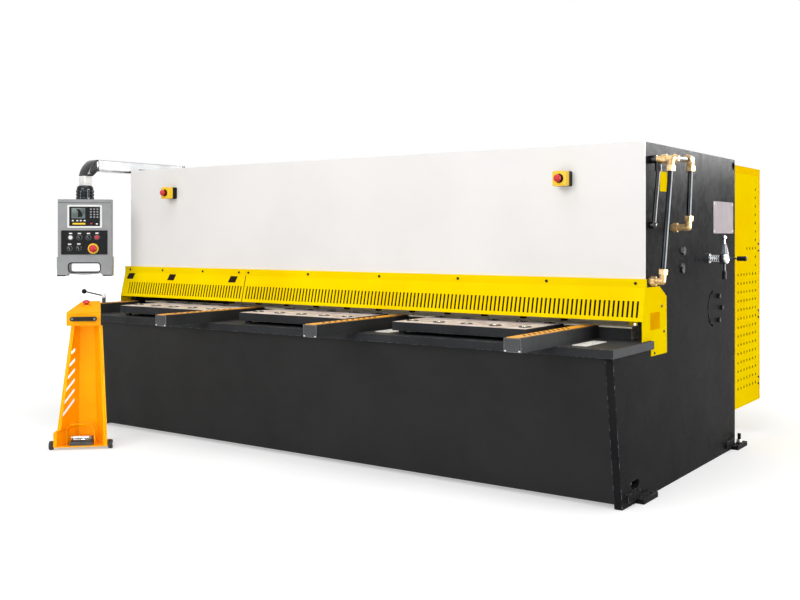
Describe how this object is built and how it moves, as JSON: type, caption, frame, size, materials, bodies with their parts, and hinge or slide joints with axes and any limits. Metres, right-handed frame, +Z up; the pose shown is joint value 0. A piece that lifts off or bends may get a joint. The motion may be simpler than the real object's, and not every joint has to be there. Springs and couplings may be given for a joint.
{
  "type": "hydraulic guillotine shear",
  "caption": "Hydraulic guillotine shear for sheet metal with ball-transfer table, slotted finger guard, swinging control pendant and pedal stand.",
  "frame": {"origin": "on the floor, at the centre of the four anchor bolts in the levelling feet", "axes": "+Z up; +X along the blades, to the operator's right; -Y towards the operator"},
  "size_m": [4.2468, 3.0023, 1.8135],
  "materials": {
    "frame_paint": "textured anthracite paint",
    "bed_paint": "satin near-black paint",
    "deck_paint": "satin dark grey paint",
    "white_paint": "satin off-white paint",
    "yellow_paint": "gloss yellow paint",
    "amber_paint": "gloss amber paint",
    "table_steel": "machined steel",
    "blade_steel": "ground tool steel",
    "dark_steel": "blackened steel",
    "polished_steel": "bright plated steel",
    "ball_steel": "polished balls in steel cups",
    "brass": "brass fittings",
    "scale_strip": "orange strip with plain marks",
    "arm_aluminium": "anodised aluminium profile",
    "motor_paint": "grey machine paint",
    "yellow_plastic": "yellow moulded plastic",
    "red_plastic": "red moulded plastic",
    "black_plastic": "black moulded plastic",
    "grey_plastic": "grey moulded housing",
    "black_rubber": "rubber tread"
  },
  "bodies": {
    "root": {"side_frame_left": "frame_paint", "side_frame_right": "frame_paint", "levelling_feet": "frame_paint", "bed_front_plate": "bed_paint", "deck_plate": "deck_paint", "bed_beam": "bed_paint", "table_bar": "table_steel", "lower_blade": "blade_steel", "swing_beam": "frame_paint", "upper_blade": "blade_steel", "hold_down_beam": "frame_paint", "main_cylinders": "dark_steel", "cross_ties": "frame_paint", "oil_tank": "frame_paint", "motor_and_pump": "motor_paint", "rear_chute": "frame_paint", "back_gauge": "table_steel", "front_cover": "white_paint", "finger_guard_left": "yellow_paint", "finger_guard_right": "yellow_paint", "guard_end_plates": "yellow_paint", "stop_boxes": "yellow_plastic", "stop_buttons": "red_plastic", "ball_trays": "deck_paint", "ball_units": "ball_steel", "support_arms": "deck_paint", "squaring_arm": "deck_paint", "scale_strips": "scale_strip", "clamp_nut": "dark_steel", "pipe_fittings": "brass", "hydraulic_pipes": "polished_steel", "plugs_and_bolts": "dark_steel", "handle_boss": "dark_steel", "drain_pipe": "black_plastic", "rear_guard_frame": "yellow_paint", "rear_guard_sides": "yellow_paint", "rear_guard_back": "yellow_paint", "pendant_bracket": "dark_steel", "stand_base": "amber_paint", "stand_column": "amber_paint", "stand_head": "amber_paint", "stand_handle": "black_plastic", "stand_stop_button": "red_plastic", "pedal_hood": "amber_paint", "pedal_block": "dark_steel"},
    "pendant_arm_body": {"pendant_arm": "arm_aluminium", "pendant_elbow": "black_plastic", "pendant_drop_tube": "arm_aluminium"},
    "pendant_body": {"pendant_coupling": "black_plastic", "pendant_housing": "grey_plastic", "pendant_panels": "black_plastic", "pendant_stop_button": "red_plastic"},
    "star_handle_body": {"star_handle": "polished_steel", "handle_cone": "motor_paint", "handle_grips": "black_plastic"},
    "clamp_lever_body": {"clamp_lever": "polished_steel", "clamp_knob": "black_plastic"},
    "pedal_body": {"foot_pedal": "polished_steel"},
    "wheel_left_body": {"stand_wheel_left": "black_rubber"},
    "wheel_right_body": {"stand_wheel_right": "black_rubber"}
  },
  "joints": [
    {"name": "pendant_arm_swing", "type": "hinge", "parent": "root", "child": "pendant_arm_body", "pos_m": [-1.963, -0.21, 1.77], "axis": [0, 0, -1], "range_deg": [0, 100]},
    {"name": "pendant_swivel", "type": "hinge", "parent": "pendant_arm_body", "child": "pendant_body", "pos_m": [-1.963, -1.058, 1.633], "axis": [0, 0, 1], "range_deg": [-120, 120]},
    {"name": "star_handle_turn", "type": "hinge", "parent": "root", "child": "star_handle_body", "pos_m": [1.95, 0.233, 1.16], "axis": [1, 0, 0], "continuous": true},
    {"name": "clamp_lever_turn", "type": "hinge", "parent": "root", "child": "clamp_lever_body", "pos_m": [-1.85, -0.99, 0.87], "axis": [0, 0, 1], "range_deg": [-90, 90]},
    {"name": "pedal_press", "type": "hinge", "parent": "root", "child": "pedal_body", "pos_m": [-1.35421, -1.54254, 0.057], "axis": [0.7193, 0.6947, 0], "range_deg": [0, 6], "stiffness_Nm_per_rad": 5, "springref_deg": -17.19},
    {"name": "wheel_left_spin", "type": "hinge", "parent": "root", "child": "wheel_left_body", "pos_m": [-1.43557, -1.7059, 0.027], "axis": [0.7193, 0.6947, 0], "continuous": true},
    {"name": "wheel_right_spin", "type": "hinge", "parent": "root", "child": "wheel_right_body", "pos_m": [-1.18811, -1.46694, 0.027], "axis": [0.7193, 0.6947, 0], "continuous": true}
  ]
}
